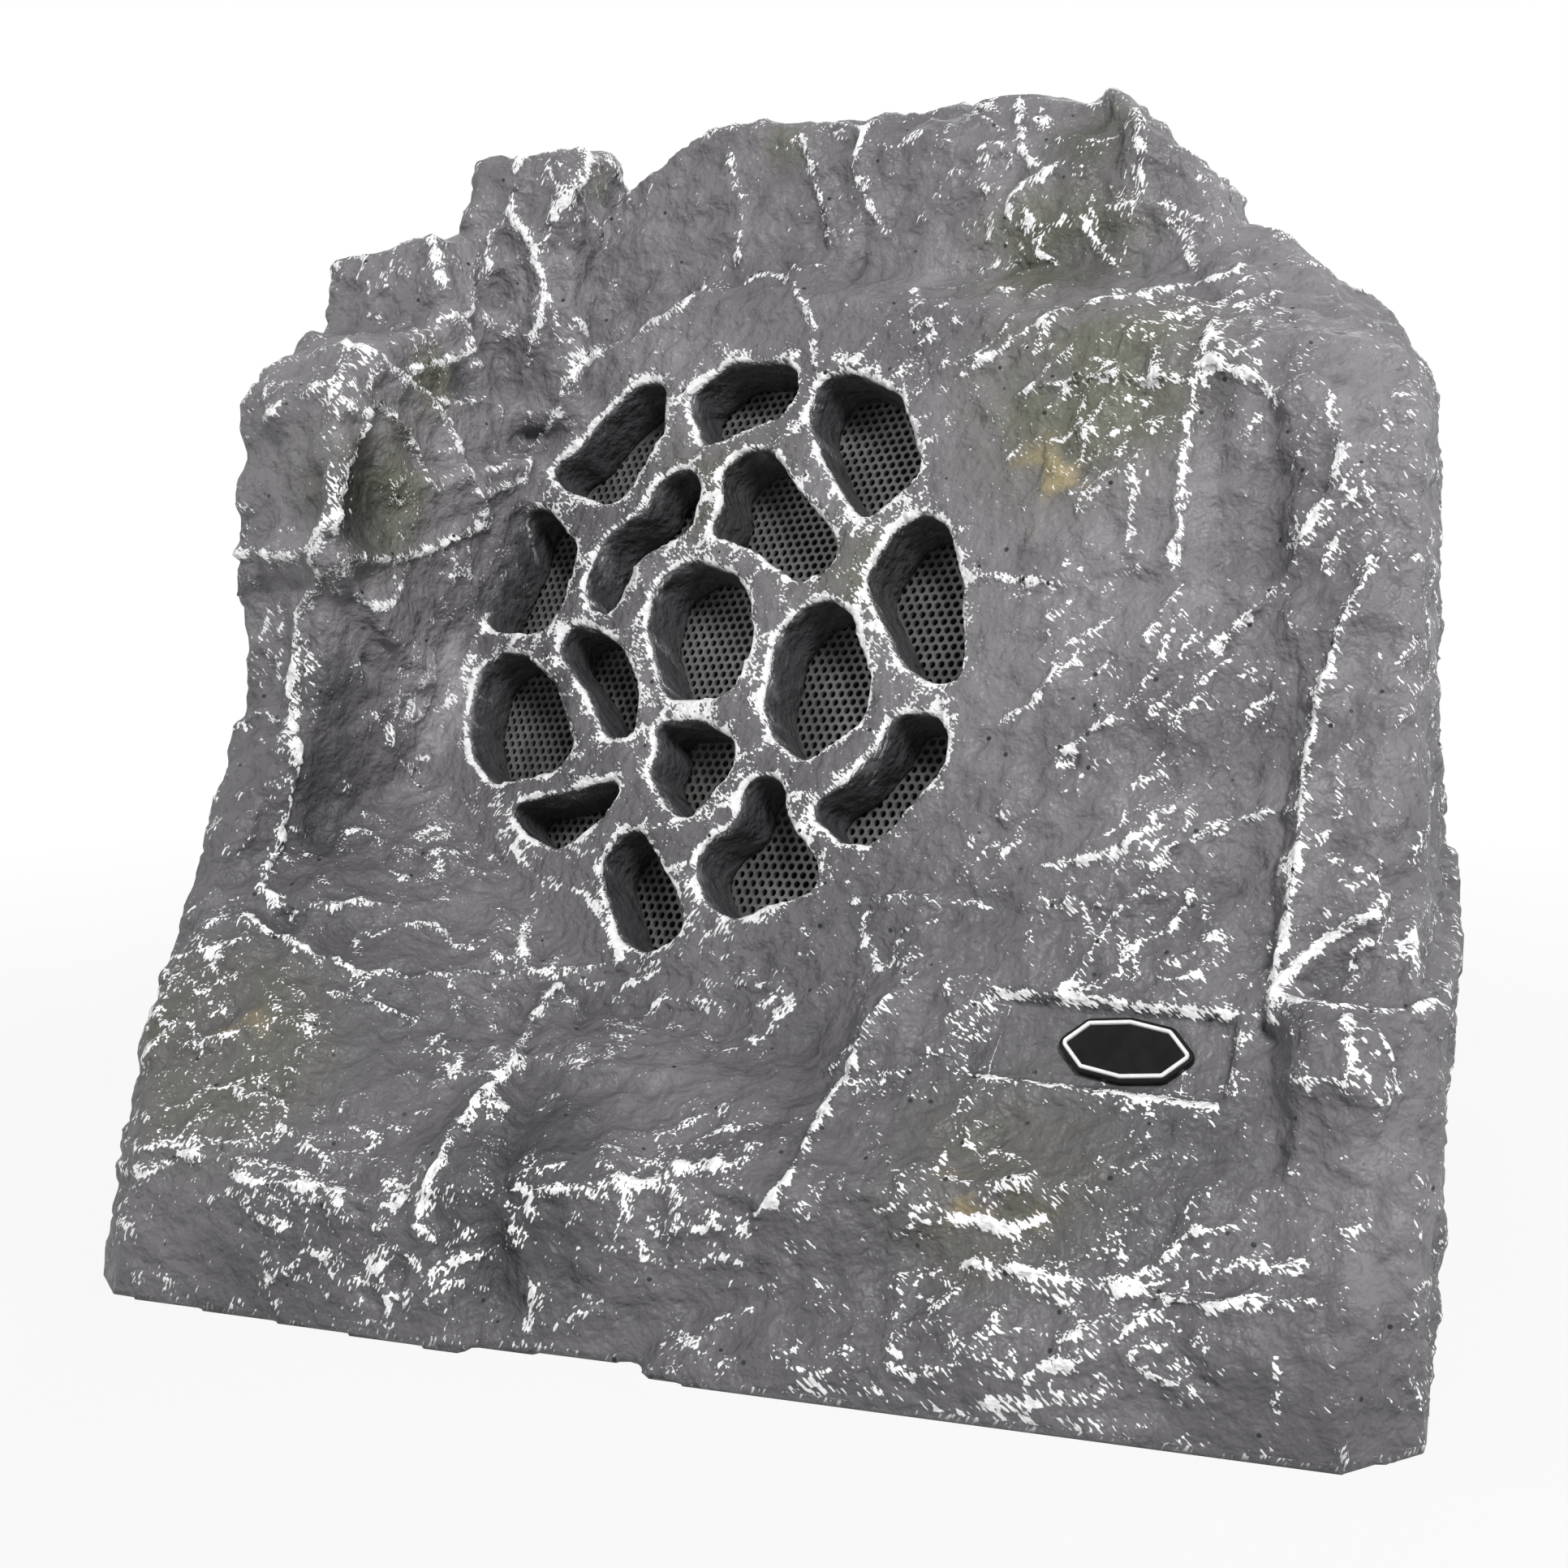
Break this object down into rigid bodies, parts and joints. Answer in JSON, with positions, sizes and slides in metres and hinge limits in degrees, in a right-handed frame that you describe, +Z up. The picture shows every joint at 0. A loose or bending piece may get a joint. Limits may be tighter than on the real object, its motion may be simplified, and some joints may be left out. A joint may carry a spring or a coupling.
{
  "type": "rock shaped garden speaker",
  "caption": "Hollow cast rock with cell shaped sound openings over a perforated sheet and a full range loudspeaker, closed by a base plate, for standing in a garden.",
  "frame": {"origin": "on the ground under the middle of the overall box", "axes": "+Z up, -Y the front with the sound openings, +X the object's right as seen from the front"},
  "size_m": [0.352, 0.304, 0.328],
  "materials": {
    "rock": "cast resin, grey paint with white dry-brushed ridges and olive patches",
    "badge": "gloss black with a silver rim, no print",
    "sheet": "grey painted perforated steel",
    "foam": "closed cell foam",
    "basket": "black painted pressed steel",
    "surround": "matt rubber",
    "cone": "treated paper",
    "coil": "coil former with copper winding",
    "spider": "resin dipped cloth",
    "zinc_steel": "zinc plated",
    "ferrite": "sintered ferrite",
    "strip": "laminated strip with blades",
    "screws": "zinc plated",
    "base": "moulded black plastic",
    "board": "green printed circuit board",
    "brass": "turned brass",
    "sink": "extruded aluminium",
    "capacitor": "sleeved cans",
    "shield": "tinned shield",
    "block": "moulded plastic",
    "lead": "flat twin lead",
    "socket": "moulded black plastic",
    "washer": "rubber"
  },
  "bodies": {
    "enclosure": {"rock_shell": "rock", "badge": "badge", "perforated_grille": "sheet", "grille_gasket": "foam", "driver_basket": "basket", "surround": "surround", "spider": "spider", "top_plate": "zinc_steel", "ferrite_magnet": "ferrite", "pole_yoke": "zinc_steel", "driver_terminals": "strip", "driver_screws": "screws", "base_plate": "base", "base_seal": "foam", "base_screws": "screws", "amplifier_board": "board", "board_standoffs": "brass", "board_screws": "screws", "heat_sink": "sink", "capacitors": "capacitor", "receiver_module": "shield", "terminal_block": "block", "speaker_lead": "lead", "power_socket": "socket", "socket_washer": "washer", "socket_nut": "brass"},
    "diaphragm": {"cone": "cone", "dust_cap": "cone", "voice_coil": "coil"}
  },
  "joints": [
    {"name": "cone_travel", "type": "slide", "parent": "enclosure", "child": "diaphragm", "axis": [-0.2926, -0.8498, 0.4384], "range_m": [-0.004, 0.004], "stiffness_N_per_m": 1500, "deforming": ["surround", "spider"]}
  ]
}
